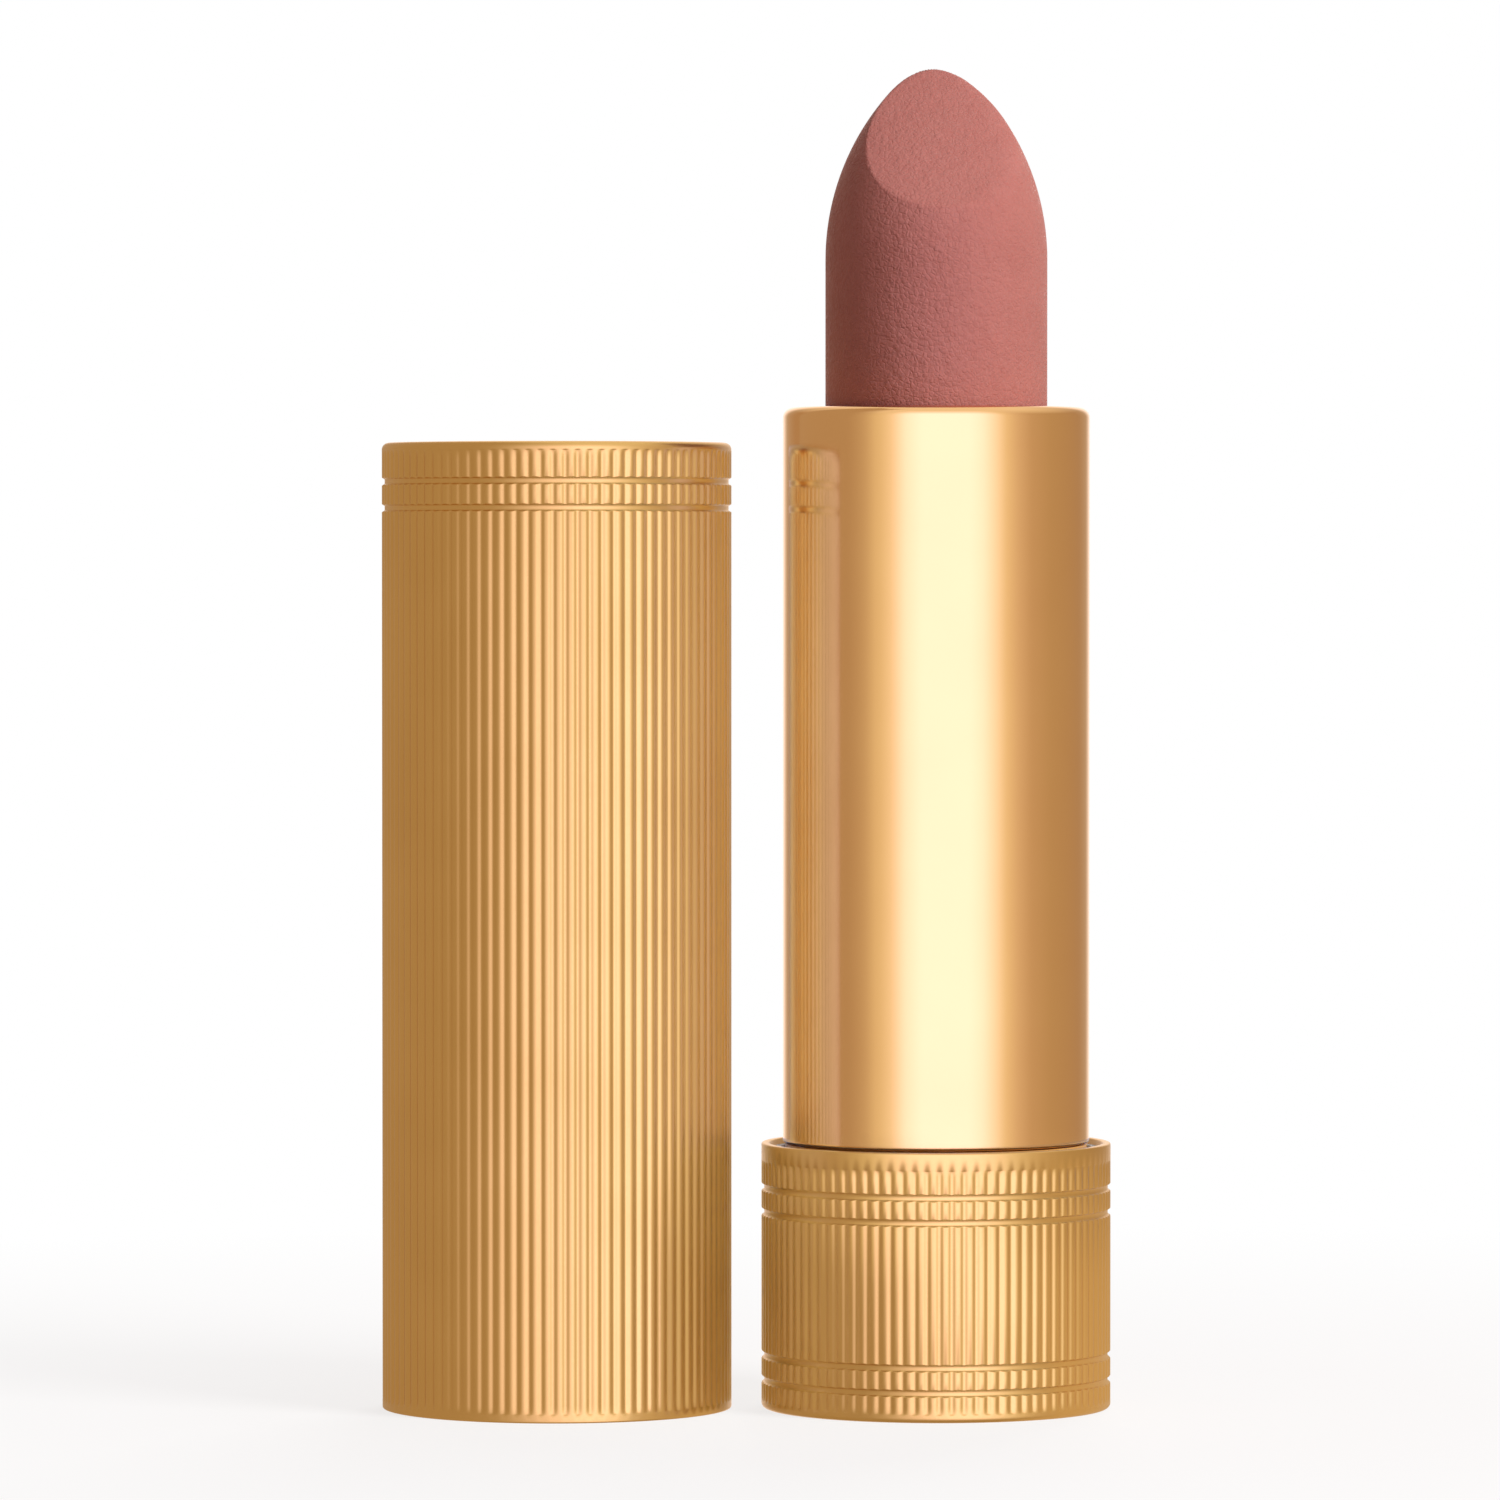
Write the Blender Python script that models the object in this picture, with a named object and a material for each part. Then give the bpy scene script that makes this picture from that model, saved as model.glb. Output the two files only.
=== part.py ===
"""Swivel lipstick case, standing with its cap off beside it.

Metres, +Z up. The origin is on the case's axis, at the underside of its base.
The lipstick is fully raised. Turning the outer sleeve one whole turn about +Z
lets the lugs of the carrier cup run down the two spiral slots of the cam
sleeve, while the upright slots of the guide tube keep the cup from turning.
"""

import math

import bmesh
import bpy
from mathutils import Matrix, Vector

MM = 0.001

# Driving sizes: the lipstick and what holds it, from the axis outwards.
BULLET_RADIUS = 6.28 * MM
CUP_WALL = 0.52 * MM
GUIDE_WALL = 0.50 * MM
CAM_WALL = 0.60 * MM
SLEEVE_WALL = 0.52 * MM
GRIP_RIB_HEIGHT = 0.20 * MM
LINER_WALL = 0.45 * MM
SHELL_WALL = 0.45 * MM

# Clearances.
BULLET_FIT = 0.05 * MM
RUNNING_FIT = 0.09 * MM
PRESS_GAP = 0.05 * MM
GLUE_GAP = 0.05 * MM
CAP_GRIP_FIT = 0.05 * MM
LUG_FIT = 0.10 * MM
SEAT_GAP = 0.10 * MM

# Driving heights.
BASE_HEIGHT = 15.05 * MM
SLEEVE_LENGTH = 41.6 * MM
HEM_GAP = 0.05 * MM
CAP_HEADROOM = 7.95 * MM
BULLET_SHOWN = 19.3 * MM
TIP_BELOW_MOUTH = 1.7 * MM
CAP_STANDOFF = 1.7 * MM

# Shells of the cap and the base.
SHELL_FLOOR = 0.50 * MM
CAP_TOP_WALL = 0.50 * MM
CAP_TOP_ROUND = 0.40 * MM
FOOT_ROUND = 0.30 * MM
RIM_ROUND = 0.12 * MM
GROOVE_DEPTH = 0.16 * MM
GROOVE_WIDTH = 0.45 * MM
CAP_GROOVES = (2.2 * MM, 3.7 * MM)
BASE_TOP_GROOVES = (2.5 * MM, 3.9 * MM)
BASE_FOOT_GROOVES = (1.65 * MM, 3.05 * MM)

# Base insert, weight, label and mechanism seats.
LABEL_RADIUS = 8.0 * MM
LABEL_THICKNESS = 0.12 * MM
BASE_WEIGHT_THICKNESS = 4.0 * MM
WEIGHT_HOLE_RADIUS = 2.0 * MM
LINER_FLOOR = 1.2 * MM
LINER_RECESS = 0.30 * MM
BOSS_LENGTH = 3.5 * MM
GUIDE_FOOT_THICKNESS = 1.2 * MM
BRAKE_RING_SECTION = 0.45 * MM
COLLAR_THICKNESS = 0.70 * MM
COLLAR_INSET = 0.15 * MM
GUIDE_BEAD_THICKNESS = 0.70 * MM

# Sleeve mouth and carrier.
MOUTH_GAP = 0.35 * MM
SHOULDER_ROUND = 0.60 * MM
HEM_ROUND = 0.15 * MM
CUP_LENGTH = 12.0 * MM
CUP_FLOOR = 1.0 * MM
CUP_VENT_RADIUS = 1.5 * MM
CUP_BELOW_SHOULDER = 0.70 * MM
LUG_RADIUS = 0.90 * MM
LUG_ABOVE_CUP_FOOT = 2.5 * MM

# Lipstick tip: an ogive cut by one slanted facet that faces -Y.
OGIVE_RADIUS = 14.15 * MM
OGIVE_START_BELOW_TIP = 10.95 * MM
FACET_BELOW_TIP = 1.25 * MM
FACET_TILT = math.radians(49)
BULLET_TURN = math.radians(4)

# Cap insert and weight.
CAP_WEIGHT_THICKNESS = 3.5 * MM
CAP_LINER_TOP_WALL = 1.0 * MM
CAP_LINER_RECESS = 0.40 * MM
GRIP_RIB_COUNT = 8
GRIP_RIB_WIDTH = 0.80 * MM
GRIP_RIB_BOTTOM = 3.0 * MM
GRIP_RIB_LENGTH = 9.0 * MM

# Facets round each turned piece.
SHELL_SIDES = 64
INNER_SIDES = 48
ROUND_STEPS = 4

# Radii that follow from the stack.
CUP_BORE = BULLET_RADIUS + BULLET_FIT
CUP_RADIUS = CUP_BORE + CUP_WALL
GUIDE_BORE = CUP_RADIUS + RUNNING_FIT
GUIDE_RADIUS = GUIDE_BORE + GUIDE_WALL
CAM_BORE = GUIDE_RADIUS + RUNNING_FIT
CAM_RADIUS = CAM_BORE + CAM_WALL
SLEEVE_BORE = CAM_RADIUS + PRESS_GAP
SLEEVE_RADIUS = SLEEVE_BORE + SLEEVE_WALL
LINER_BORE = SLEEVE_RADIUS + CAP_GRIP_FIT + GRIP_RIB_HEIGHT
LINER_RADIUS = LINER_BORE + LINER_WALL
SHELL_BORE = LINER_RADIUS + PRESS_GAP
SHELL_RADIUS = SHELL_BORE + SHELL_WALL
MOUTH_RADIUS = BULLET_RADIUS + MOUTH_GAP
LABEL_RECESS = LABEL_THICKNESS + GLUE_GAP

# Heights that follow from the stack.
WEIGHT_FOOT = SHELL_FLOOR + GLUE_GAP
LINER_FOOT = WEIGHT_FOOT + BASE_WEIGHT_THICKNESS + GLUE_GAP
LINER_SEAT = LINER_FOOT + LINER_FLOOR
GUIDE_FOOT = LINER_SEAT + GLUE_GAP
GUIDE_FOOT_TOP = GUIDE_FOOT + GUIDE_FOOT_THICKNESS
BRAKE_RING_HEIGHT = GUIDE_FOOT_TOP + GLUE_GAP + BRAKE_RING_SECTION
CAM_FOOT = BRAKE_RING_HEIGHT + BRAKE_RING_SECTION + GLUE_GAP
SLEEVE_HEM = BASE_HEIGHT + HEM_GAP
SLEEVE_TOP = SLEEVE_HEM + SLEEVE_LENGTH
SHOULDER_UNDERSIDE = SLEEVE_TOP - SLEEVE_WALL
CUP_TOP = SHOULDER_UNDERSIDE - CUP_BELOW_SHOULDER
CUP_FOOT = CUP_TOP - CUP_LENGTH
LUG_HEIGHT = CUP_FOOT + LUG_ABOVE_CUP_FOOT
GUIDE_TOP = CUP_TOP - SEAT_GAP
CAM_TOP = GUIDE_TOP - GUIDE_BEAD_THICKNESS - SEAT_GAP
COLLAR_TOP = SLEEVE_HEM - SEAT_GAP
BULLET_TOP = SLEEVE_TOP + BULLET_SHOWN
TRAVEL = BULLET_SHOWN + TIP_BELOW_MOUTH
SLOT_HALF_WIDTH = LUG_RADIUS + LUG_FIT
LUG_REACH = CAM_RADIUS - LUG_FIT

# The cap, in its own heights above its rim, and its place beside the case.
CAP_LINER_CEILING = SLEEVE_TOP - BASE_HEIGHT + CAP_HEADROOM
CAP_LINER_TOP = CAP_LINER_CEILING + CAP_LINER_TOP_WALL
CAP_WEIGHT_FOOT = CAP_LINER_TOP + GLUE_GAP
CAP_WEIGHT_TOP = CAP_WEIGHT_FOOT + CAP_WEIGHT_THICKNESS
CAP_CEILING = CAP_WEIGHT_TOP + GLUE_GAP
CAP_HEIGHT = CAP_CEILING + CAP_TOP_WALL
CAP_SPACING = 2 * SHELL_RADIUS + CAP_STANDOFF


def look(name, colour, roughness, metallic=0.0):
    """A plain material with the piece's colour, roughness and metallic value."""
    material = bpy.data.materials.new(name)
    material.use_nodes = True
    shader = material.node_tree.nodes["Principled BSDF"]
    shader.inputs["Base Color"].default_value = (*colour, 1.0)
    shader.inputs["Roughness"].default_value = roughness
    shader.inputs["Metallic"].default_value = metallic
    return material


def joint_empty(name, place):
    """An empty on a joint's axis, which carries the pieces that move about it."""
    empty = bpy.data.objects.new(name, None)
    empty.location = place
    empty.empty_display_size = 5 * MM
    bpy.context.collection.objects.link(empty)
    return empty


def new_object(name, bm, parent, material=None):
    """Make an object of a finished bmesh, with its faces turned outwards."""
    bmesh.ops.recalc_face_normals(bm, faces=bm.faces)
    mesh = bpy.data.meshes.new(name)
    bm.to_mesh(mesh)
    bm.free()
    if material:
        mesh.materials.append(material)
    mesh.shade_smooth()
    mesh.set_sharp_from_angle(angle=math.radians(32))
    piece = bpy.data.objects.new(name, mesh)
    bpy.context.collection.objects.link(piece)
    piece.parent = parent
    return piece


def arc(centre_radius, centre_height, radius, start, end, steps=ROUND_STEPS):
    """Points along a round of an outline; angles in degrees from the radial."""
    points = []
    for step in range(steps + 1):
        angle = math.radians(start + (end - start) * step / steps)
        across = centre_radius + radius * math.cos(angle)
        up = centre_height + radius * math.sin(angle)
        points.append((across, up))
    return points


def groove(radius, height):
    """Three outline points of one rolled groove, from below to above."""
    half = GROOVE_WIDTH / 2
    return [
        (radius, height - half),
        (radius - GROOVE_DEPTH, height),
        (radius, height + half),
    ]


def turned(name, outline, sides, parent, material):
    """Spin an outline of (radius, height) points a full turn about Z.

    An outline that starts and ends on the axis stays open along it.
    """
    bm = bmesh.new()
    points = [bm.verts.new((across, 0.0, up)) for across, up in outline]
    edges = []
    for first, second in zip(points, points[1:] + points[:1]):
        if first.co.x > 0 or second.co.x > 0:
            edges.append(bm.edges.new((first, second)))
    bmesh.ops.spin(
        bm,
        geom=points + edges,
        cent=(0, 0, 0),
        axis=(0, 0, 1),
        angle=2 * math.pi,
        steps=sides,
        use_merge=True,
    )
    bmesh.ops.remove_doubles(bm, verts=bm.verts, dist=0.001 * MM)
    return new_object(name, bm, parent, material)


def loft(name, rings, parent):
    """Bridge rings of equal point counts into one closed solid."""
    bm = bmesh.new()
    loops = [[bm.verts.new(point) for point in ring] for ring in rings]
    for lower, upper in zip(loops, loops[1:]):
        for side in range(len(lower)):
            after = (side + 1) % len(lower)
            bm.faces.new((lower[side], lower[after], upper[after], upper[side]))
    bm.faces.new(loops[0])
    bm.faces.new(loops[-1])
    return new_object(name, bm, parent)


def boolean(target, tool, operation):
    """Cut the tool from the target, or join it on, and hide the tool."""
    modifier = target.modifiers.new(tool.name, "BOOLEAN")
    modifier.operation = operation
    modifier.solver = "EXACT"
    modifier.object = tool
    tool.hide_render = True
    tool.display_type = "WIRE"


def make_cap(cap_axis, gold, clear, steel):
    """The cap's shell, its grip liner and the steel disc in its top."""
    shell = [(SHELL_BORE, 0.0), (SHELL_RADIUS - RIM_ROUND, 0.0)]
    shell.append((SHELL_RADIUS, RIM_ROUND))
    for drop in reversed(CAP_GROOVES):
        shell += groove(SHELL_RADIUS, CAP_HEIGHT - drop)
    round_centre = SHELL_RADIUS - CAP_TOP_ROUND
    shell += arc(round_centre, CAP_HEIGHT - CAP_TOP_ROUND, CAP_TOP_ROUND, 0, 90)
    shell += [(0.0, CAP_HEIGHT), (0.0, CAP_CEILING), (SHELL_BORE, CAP_CEILING)]
    turned("cap_shell", shell, SHELL_SIDES, cap_axis, gold)

    weight_radius = SHELL_BORE - SEAT_GAP
    weight = [
        (0.0, CAP_WEIGHT_FOOT),
        (weight_radius, CAP_WEIGHT_FOOT),
        (weight_radius, CAP_WEIGHT_TOP),
        (0.0, CAP_WEIGHT_TOP),
    ]
    turned("cap_weight", weight, INNER_SIDES, cap_axis, steel)

    liner = [
        (LINER_BORE, CAP_LINER_RECESS),
        (LINER_RADIUS, CAP_LINER_RECESS),
        (LINER_RADIUS, CAP_LINER_TOP),
        (0.0, CAP_LINER_TOP),
        (0.0, CAP_LINER_CEILING),
        (LINER_BORE, CAP_LINER_CEILING),
    ]
    cap_liner = turned("cap_liner", liner, INNER_SIDES, cap_axis, clear)
    boolean(cap_liner, grip_ribs(cap_axis), "UNION")


def grip_ribs(cap_axis):
    """Upright ribs inside the cap's liner, each rooted halfway into its wall."""
    bm = bmesh.new()
    inner = LINER_BORE - GRIP_RIB_HEIGHT
    outer = LINER_BORE + LINER_WALL / 2
    middle = GRIP_RIB_BOTTOM + GRIP_RIB_LENGTH / 2
    for index in range(GRIP_RIB_COUNT):
        turn = Matrix.Rotation(2 * math.pi * (index + 0.5) / GRIP_RIB_COUNT, 4, "Z")
        place = Matrix.Translation(((inner + outer) / 2, 0.0, middle))
        size = Matrix.Diagonal((outer - inner, GRIP_RIB_WIDTH, GRIP_RIB_LENGTH, 1.0))
        bmesh.ops.create_cube(bm, size=1.0, matrix=turn @ place @ size)
    return new_object("grip_rib_tool", bm, cap_axis)


def make_base(case_axis, gold, grey, steel, paper):
    """The base's shell, label, weight and insert."""
    recess_radius = LABEL_RADIUS + SEAT_GAP
    shell = [
        (0.0, LABEL_RECESS),
        (recess_radius, LABEL_RECESS),
        (recess_radius, 0.0),
    ]
    shell += arc(SHELL_RADIUS - FOOT_ROUND, FOOT_ROUND, FOOT_ROUND, -90, 0, 3)
    for height in BASE_FOOT_GROOVES:
        shell += groove(SHELL_RADIUS, height)
    for drop in reversed(BASE_TOP_GROOVES):
        shell += groove(SHELL_RADIUS, BASE_HEIGHT - drop)
    shell += [
        (SHELL_RADIUS, BASE_HEIGHT - RIM_ROUND),
        (SHELL_RADIUS - RIM_ROUND, BASE_HEIGHT),
        (SHELL_BORE, BASE_HEIGHT),
        (SHELL_BORE, SHELL_FLOOR),
        (0.0, SHELL_FLOOR),
    ]
    turned("base_shell", shell, SHELL_SIDES, case_axis, gold)

    label = [
        (0.0, 0.0),
        (LABEL_RADIUS, 0.0),
        (LABEL_RADIUS, LABEL_THICKNESS),
        (0.0, LABEL_THICKNESS),
    ]
    turned("base_label", label, INNER_SIDES, case_axis, paper)

    weight_radius = SHELL_BORE - SEAT_GAP
    weight_top = WEIGHT_FOOT + BASE_WEIGHT_THICKNESS
    weight = [
        (WEIGHT_HOLE_RADIUS, WEIGHT_FOOT),
        (weight_radius, WEIGHT_FOOT),
        (weight_radius, weight_top),
        (WEIGHT_HOLE_RADIUS, weight_top),
    ]
    turned("base_weight", weight, INNER_SIDES, case_axis, steel)

    boss_radius = WEIGHT_HOLE_RADIUS - SEAT_GAP
    liner_top = BASE_HEIGHT - LINER_RECESS
    liner = [
        (0.0, LINER_FOOT - BOSS_LENGTH),
        (boss_radius, LINER_FOOT - BOSS_LENGTH),
        (boss_radius, LINER_FOOT),
        (LINER_RADIUS, LINER_FOOT),
        (LINER_RADIUS, liner_top),
        (LINER_BORE, liner_top),
        (LINER_BORE, LINER_SEAT),
        (0.0, LINER_SEAT),
    ]
    turned("base_liner", liner, INNER_SIDES, case_axis, grey)


def make_guide(case_axis, white, silicone):
    """The guide tube with its two upright slots, and the brake ring round it."""
    foot_radius = LINER_BORE - SEAT_GAP
    bead_radius = SLEEVE_BORE - SEAT_GAP
    bead_foot = GUIDE_TOP - GUIDE_BEAD_THICKNESS
    tube = [
        (GUIDE_BORE, GUIDE_FOOT),
        (foot_radius, GUIDE_FOOT),
        (foot_radius, GUIDE_FOOT_TOP),
        (GUIDE_RADIUS, GUIDE_FOOT_TOP),
        (GUIDE_RADIUS, bead_foot),
        (bead_radius, bead_foot),
        (bead_radius, GUIDE_TOP),
        (GUIDE_BORE, GUIDE_TOP),
    ]
    guide = turned("guide_tube", tube, INNER_SIDES, case_axis, white)
    boolean(guide, upright_slot(case_axis), "DIFFERENCE")

    ring_centre = GUIDE_RADIUS + GLUE_GAP + BRAKE_RING_SECTION
    section = arc(ring_centre, BRAKE_RING_HEIGHT, BRAKE_RING_SECTION, 0, 360, 8)
    turned("brake_ring", section[:-1], INNER_SIDES, case_axis, silicone)


def upright_slot(case_axis):
    """One round-ended bar across the tube, which cuts both slots at once."""
    top = LUG_HEIGHT
    bottom = LUG_HEIGHT - TRAVEL
    outline = arc(0.0, top, SLOT_HALF_WIDTH, 0, 180, 8)
    outline += arc(0.0, bottom, SLOT_HALF_WIDTH, 180, 360, 8)
    reach = CAM_RADIUS
    rings = []
    for across in (-reach, reach):
        rings.append([(across, side, up) for side, up in outline])
    return loft("upright_slot_tool", rings, case_axis)


def make_sleeve(sleeve_axis, gold, amber):
    """The outer sleeve and, fixed inside it, the cam sleeve with spiral slots."""
    shoulder = SLEEVE_RADIUS - SHOULDER_ROUND
    tube = [
        (SLEEVE_BORE, SLEEVE_HEM),
        (SLEEVE_RADIUS - HEM_ROUND, SLEEVE_HEM),
        (SLEEVE_RADIUS, SLEEVE_HEM + HEM_ROUND),
    ]
    tube += arc(shoulder, SLEEVE_TOP - SHOULDER_ROUND, SHOULDER_ROUND, 0, 90)
    tube += [
        (MOUTH_RADIUS, SLEEVE_TOP),
        (MOUTH_RADIUS, SHOULDER_UNDERSIDE),
        (SLEEVE_BORE, SHOULDER_UNDERSIDE),
    ]
    turned("outer_sleeve", tube, SHELL_SIDES, sleeve_axis, gold)

    collar_radius = SLEEVE_RADIUS - COLLAR_INSET
    collar_foot = COLLAR_TOP - COLLAR_THICKNESS
    cam = [
        (CAM_BORE, CAM_FOOT),
        (CAM_RADIUS, CAM_FOOT),
        (CAM_RADIUS, collar_foot),
        (collar_radius, collar_foot),
        (collar_radius, COLLAR_TOP),
        (CAM_RADIUS, COLLAR_TOP),
        (CAM_RADIUS, CAM_TOP),
        (CAM_BORE, CAM_TOP),
    ]
    cam_sleeve = turned("cam_sleeve", cam, INNER_SIDES, sleeve_axis, amber)
    for index in range(2):
        slot = spiral_slot(index, sleeve_axis)
        boolean(cam_sleeve, slot, "DIFFERENCE")


def spiral_slot(index, sleeve_axis):
    """A round-ended ribbon that runs one turn down the cam sleeve's wall.

    It is laid out flat at the wall's middle radius, as a straight slot that
    falls by the travel in one turn, and each point is then wrapped round.
    """
    middle = (CAM_BORE + CAM_RADIUS) / 2
    turn_length = 2 * math.pi * middle
    slope = math.atan2(TRAVEL, turn_length)
    run = math.hypot(TRAVEL, turn_length)
    inner = GUIDE_BORE
    outer = CAM_RADIUS + CAM_WALL
    start = math.pi * index

    stations = []
    for step in range(1, 5):
        angle = math.radians(90 * step / 5)
        ahead = -SLOT_HALF_WIDTH * math.cos(angle)
        stations.append((ahead, SLOT_HALF_WIDTH * math.sin(angle)))
    for step in range(INNER_SIDES + 1):
        stations.append((run * step / INNER_SIDES, SLOT_HALF_WIDTH))
    for ahead, half in reversed(stations[:4]):
        stations.append((run - ahead, half))

    rings = []
    for along, half in stations:
        ring = []
        for radius, side in ((inner, -half), (outer, -half), (outer, half), (inner, half)):
            flat = along * math.cos(slope) + side * math.sin(slope)
            up = LUG_HEIGHT - along * math.sin(slope) + side * math.cos(slope)
            angle = start + flat / middle
            ring.append((radius * math.cos(angle), radius * math.sin(angle), up))
        rings.append(ring)
    return loft("spiral_slot_tool_%d" % index, rings, sleeve_axis)


def make_carrier(carrier_axis, white, rose):
    """The carrier cup with its two lugs, and the lipstick in it."""
    floor_top = CUP_FOOT + CUP_FLOOR
    cup = [
        (CUP_VENT_RADIUS, CUP_FOOT),
        (CUP_RADIUS, CUP_FOOT),
        (CUP_RADIUS, CUP_TOP),
        (CUP_BORE, CUP_TOP),
        (CUP_BORE, floor_top),
        (CUP_VENT_RADIUS, floor_top),
    ]
    carrier_cup = turned("carrier_cup", cup, INNER_SIDES, carrier_axis, white)
    for index in range(2):
        boolean(carrier_cup, lug(index, carrier_axis), "UNION")

    ogive_start = BULLET_TOP - OGIVE_START_BELOW_TIP
    inset = OGIVE_RADIUS - BULLET_RADIUS
    tip_angle = math.degrees(math.acos(inset / OGIVE_RADIUS))
    bullet = [(0.0, floor_top + BULLET_FIT), (BULLET_RADIUS, floor_top + BULLET_FIT)]
    ogive = arc(-inset, ogive_start, OGIVE_RADIUS, 0, tip_angle, 10)
    bullet += ogive[:-1]
    bullet.append((0.0, ogive[-1][1]))
    lipstick = turned("lipstick_bullet", bullet, INNER_SIDES, carrier_axis, rose)
    boolean(lipstick, facet_cutter(carrier_axis), "DIFFERENCE")


def lug(index, carrier_axis):
    """A round pin rooted in the cup's wall, along +X or -X."""
    side = 1 - 2 * index
    rings = []
    for reach in ((CUP_BORE + CUP_RADIUS) / 2, LUG_REACH):
        ring = [(side * reach, across, up) for across, up in arc(
            0.0, LUG_HEIGHT, LUG_RADIUS, 0, 360, 16)[:-1]]
        rings.append(ring)
    return loft("lug_tool_%d" % index, rings, carrier_axis)


def facet_cutter(carrier_axis):
    """A block whose underside is the slanted facet of the lipstick's tip."""
    bm = bmesh.new()
    block = 40 * MM
    bmesh.ops.create_cube(bm, size=block)
    bmesh.ops.translate(bm, verts=bm.verts, vec=Vector((0.0, 0.0, block / 2)))
    tool = new_object("facet_tool", bm, carrier_axis)
    tool.location = (0.0, 0.0, BULLET_TOP - FACET_BELOW_TIP)
    tool.rotation_euler = (FACET_TILT, 0.0, BULLET_TURN)
    return tool


def main():
    """Clear the scene and build the case and its cap."""
    for stray in list(bpy.data.objects):
        bpy.data.objects.remove(stray)

    gold = look("satin_gold", (0.80, 0.52, 0.26), 0.24, 1.0)
    sleeve_gold = look("polished_gold", (0.83, 0.55, 0.28), 0.16, 1.0)
    steel = look("zinc_plated_steel", (0.55, 0.56, 0.58), 0.40, 1.0)
    grey = look("grey_plastic", (0.60, 0.59, 0.57), 0.45)
    clear = look("natural_plastic", (0.75, 0.73, 0.70), 0.40)
    white = look("white_plastic", (0.82, 0.81, 0.78), 0.38)
    amber = look("amber_plastic", (0.42, 0.20, 0.07), 0.35)
    silicone = look("silicone", (0.12, 0.12, 0.13), 0.55)
    paper = look("label_paper", (0.86, 0.84, 0.80), 0.70)
    rose = look("rose_lipstick", (0.50, 0.19, 0.16), 0.62)

    case_axis = joint_empty("case_axis", (0.0, 0.0, 0.0))
    sleeve_axis = joint_empty("sleeve_turn_axis", (0.0, 0.0, 0.0))
    carrier_axis = joint_empty("carrier_slide_axis", (0.0, 0.0, 0.0))
    cap_axis = joint_empty("cap_lift_axis", (-CAP_SPACING, 0.0, 0.0))

    make_base(case_axis, gold, grey, steel, paper)
    make_guide(case_axis, white, silicone)
    make_sleeve(sleeve_axis, sleeve_gold, amber)
    make_carrier(carrier_axis, white, rose)
    make_cap(cap_axis, gold, clear, steel)


main()
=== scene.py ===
"""Looks for a swivel lipstick case that stands with its cap off beside it.

The fluted shells, the polished sleeve, the plastic inserts and the lipstick are
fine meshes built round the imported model. Metres, in the model's own frame.
"""
import math
from collections import namedtuple

import bmesh
import bpy
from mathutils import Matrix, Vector


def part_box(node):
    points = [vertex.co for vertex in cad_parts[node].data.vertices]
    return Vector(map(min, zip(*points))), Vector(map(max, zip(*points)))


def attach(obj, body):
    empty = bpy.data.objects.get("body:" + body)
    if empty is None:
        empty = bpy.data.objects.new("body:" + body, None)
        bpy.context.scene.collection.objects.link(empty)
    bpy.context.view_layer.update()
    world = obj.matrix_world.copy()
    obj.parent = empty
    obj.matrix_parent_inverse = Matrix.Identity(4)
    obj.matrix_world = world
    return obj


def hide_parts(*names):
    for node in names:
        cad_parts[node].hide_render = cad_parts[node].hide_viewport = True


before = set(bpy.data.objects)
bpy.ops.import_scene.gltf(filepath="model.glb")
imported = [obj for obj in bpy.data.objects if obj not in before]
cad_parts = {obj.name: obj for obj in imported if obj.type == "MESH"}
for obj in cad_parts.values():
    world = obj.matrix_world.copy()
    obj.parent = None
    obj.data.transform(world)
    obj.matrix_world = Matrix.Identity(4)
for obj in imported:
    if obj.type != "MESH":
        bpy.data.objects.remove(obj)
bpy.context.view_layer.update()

MM = 0.001

# Fluting and rolled grooves of the two gold shells.
FLUTE_COUNT = 90
FLUTE_DEPTH = 0.088 * MM
FLUTE_POWER = 1.25
RIB_SAMPLES = (0.0, 0.20, 0.38, 0.54, 0.69, 0.84)
FLUTE_RUNOUT = 0.55 * MM
RUNOUT_STEPS = 7
RUNOUT_GATHER = 1.6
GROOVE_DEPTH = 0.16 * MM
GROOVE_FLAT = 0.11 * MM
GROOVE_HALF = 0.24 * MM
GROOVE_STEPS = (0.0, 0.22, 0.5, 0.78, 1.0)
CAP_GROOVES = (2.2 * MM, 3.7 * MM)
BASE_TOP_GROOVES = (2.5 * MM, 3.9 * MM)
BASE_FOOT_GROOVES = (1.65 * MM, 3.05 * MM)
SMOOTH_BAND = 0.45 * MM
RIM_BAND = 0.95 * MM
SHELL_WALL = 0.45 * MM
SHELL_FLOOR = 0.50 * MM
CAP_TOP_ROUND = 0.40 * MM
FOOT_ROUND = 0.30 * MM
RIM_ROUND = 0.10 * MM
SHELL_CREASE = 65

# Rounds, as arcs from the radial direction, and the clearances between pieces.
OUTER_FOOT = (-90, 0)
OUTER_TOP = (0, 90)
INNER_TOP = (90, 180)
FIT_GAP = 0.05 * MM
BORE_GAP = 0.1 * MM

# Polished sleeve.
SLEEVE_WALL = 0.52 * MM
SHOULDER_ROUND = 0.60 * MM
HEM_ROUND = 0.15 * MM
LIP_ROUND = 0.12 * MM
MOUTH_GAP = 0.35 * MM
SLEEVE_BANDS = (0.25, 0.5, 0.75)
SLEEVE_COLUMNS = 256

# Insert of the base.
INSERT_ROUND = 0.12 * MM
BOSS_RADIUS = 1.9 * MM
INSERT_COLUMNS = 192

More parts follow.
